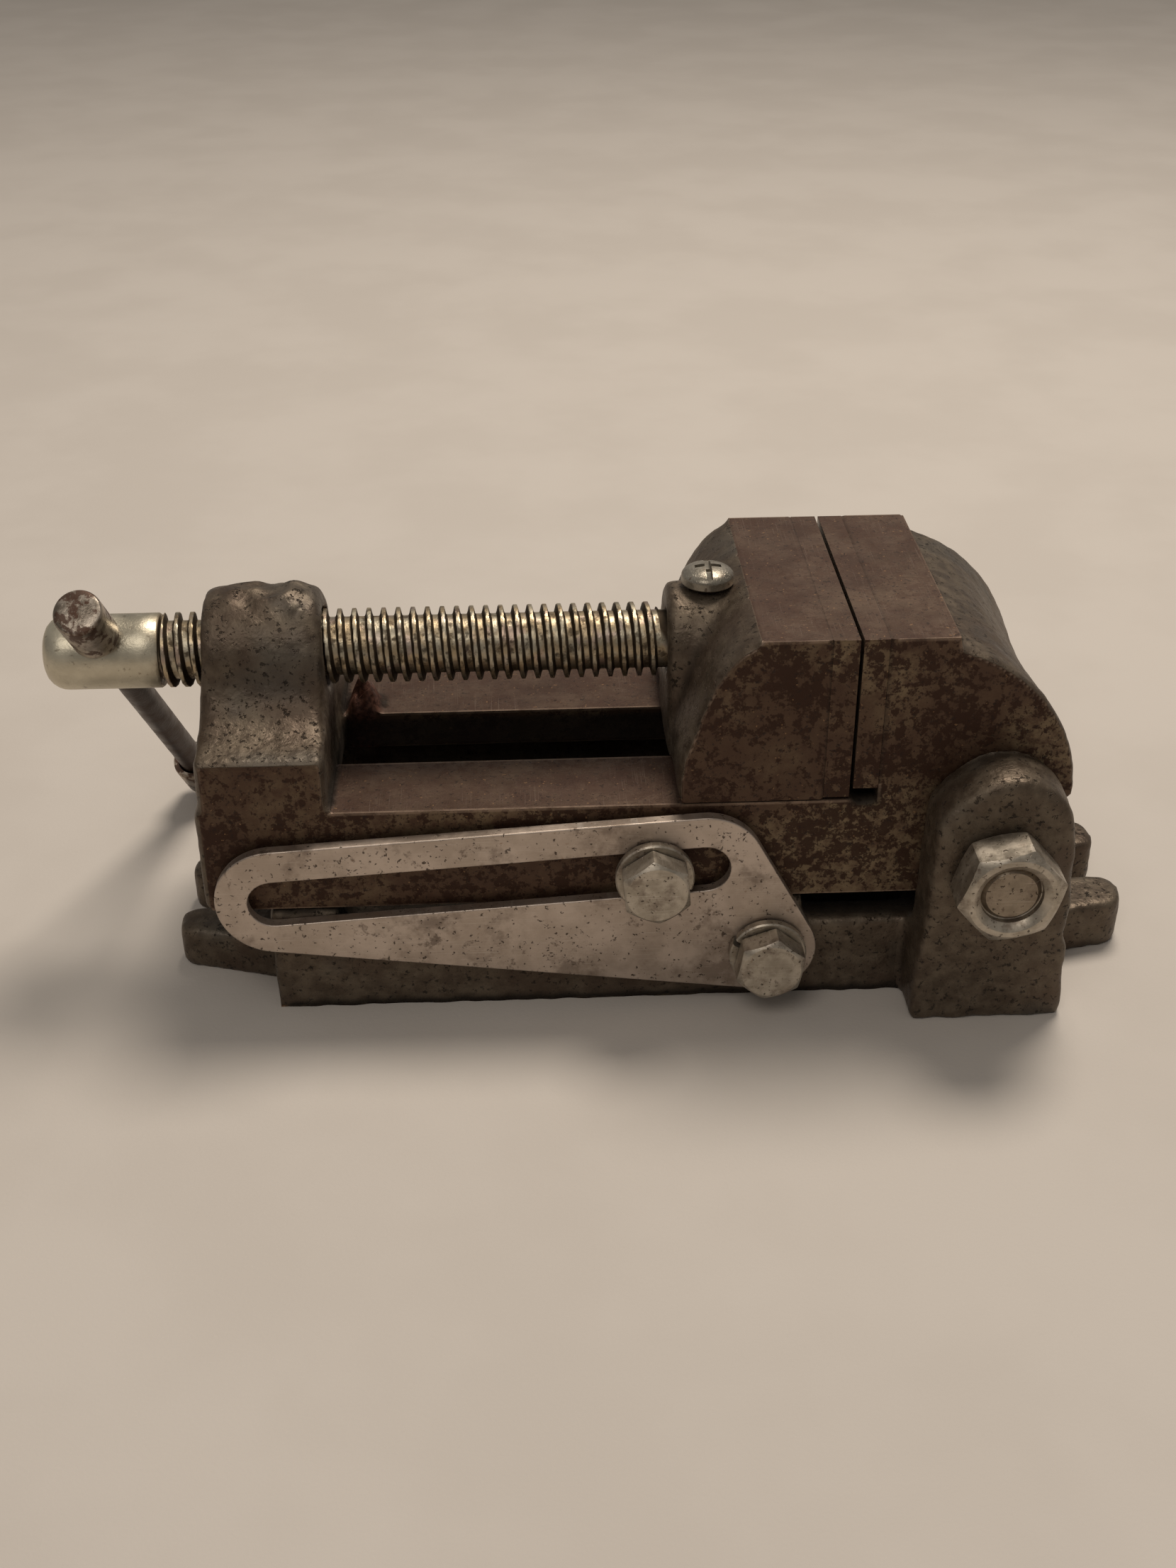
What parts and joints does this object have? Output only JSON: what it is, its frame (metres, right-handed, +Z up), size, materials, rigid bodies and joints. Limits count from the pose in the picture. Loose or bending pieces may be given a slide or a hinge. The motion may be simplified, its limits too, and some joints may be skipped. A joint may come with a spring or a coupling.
{
  "type": "tilting drill press vise",
  "caption": "Small tilting machine vise: a slotted cast base, a hinged body locked by a slotted side link, a sliding jaw on a leadscrew with a sliding tommy bar.",
  "frame": {"origin": "on the underside of the base, on the middle plane, under the closed jaws", "axes": "+X from the handle end to the hinge end, +Y away from the side with the angle link, +Z up"},
  "size_m": [0.2278, 0.1126, 0.0884],
  "materials": {
    "cast_iron": "rough dark painted casting",
    "machined_iron": "machined iron with brown rust patina",
    "jaw_plate_steel": "ground steel with light rust",
    "link_steel": "dull zinc plated strip with smudges",
    "zinc_hardware": "dull zinc plate",
    "leadscrew_steel": "zinc plate with grime in the thread",
    "handle_steel": "browned bright steel",
    "bright_screw": "bright zinc plate",
    "black_screws": "black oxide"
  },
  "bodies": {
    "base": {"base_casting": "cast_iron", "pivot_bolt": "zinc_hardware", "pivot_nut": "zinc_hardware", "link_pivot_bolt": "zinc_hardware", "link_pivot_washer": "zinc_hardware"},
    "tilt_body": {"vise_body": "machined_iron", "fixed_jaw_plate": "jaw_plate_steel", "fixed_plate_screw_near": "black_screws", "fixed_plate_screw_far": "black_screws"},
    "moving_jaw": {"moving_jaw": "machined_iron", "moving_jaw_plate": "jaw_plate_steel", "moving_plate_screw_near": "black_screws", "moving_plate_screw_far": "black_screws", "keeper_plate": "jaw_plate_steel", "keeper_screw_1": "black_screws", "keeper_screw_2": "black_screws", "screw_retainer": "bright_screw"},
    "leadscrew": {"leadscrew": "leadscrew_steel"},
    "handle_bar": {"handle_bar": "handle_steel", "handle_cap_near": "handle_steel", "handle_cap_far": "handle_steel"},
    "angle_link": {"angle_link": "link_steel"},
    "slot_bolt": {"slot_bolt": "zinc_hardware", "slot_washer": "zinc_hardware"}
  },
  "joints": [
    {"name": "body_tilt", "type": "hinge", "parent": "base", "child": "tilt_body", "pos_m": [0.0291, 0, 0.0377], "axis": [0, 1, 0], "range_deg": [0, 55]},
    {"name": "jaw_slide", "type": "slide", "parent": "tilt_body", "child": "moving_jaw", "axis": [-1, 0, 0], "range_m": [0, 0.06]},
    {"name": "screw_turn", "type": "hinge", "parent": "moving_jaw", "child": "leadscrew", "pos_m": [-0.15, 0, 0.0696], "axis": [-1, 0, 0], "range_deg": [0, 7200]},
    {"name": "bar_slide", "type": "slide", "parent": "leadscrew", "child": "handle_bar", "axis": [-0.0628, -0.6678, 0.7417], "range_m": [0, 0.064]},
    {"name": "link_swing", "type": "hinge", "parent": "base", "child": "angle_link", "pos_m": [-0.0156, 0, 0.0137], "axis": [0, 1, 0], "range_deg": [0, 79.26]},
    {"name": "slot_bolt_slide", "type": "slide", "parent": "angle_link", "child": "slot_bolt", "axis": [-0.998, 0, -0.0639], "range_m": [0, 0.0523]}
  ],
  "couplings": [
    {"joint": "screw_turn", "follows": "jaw_slide", "rad_per_m": 2094.4},
    {"joint": "link_swing", "follows": "body_tilt", "ratio": 1.4411},
    {"joint": "slot_bolt_slide", "follows": "body_tilt", "m_per_rad": 0.054473}
  ]
}
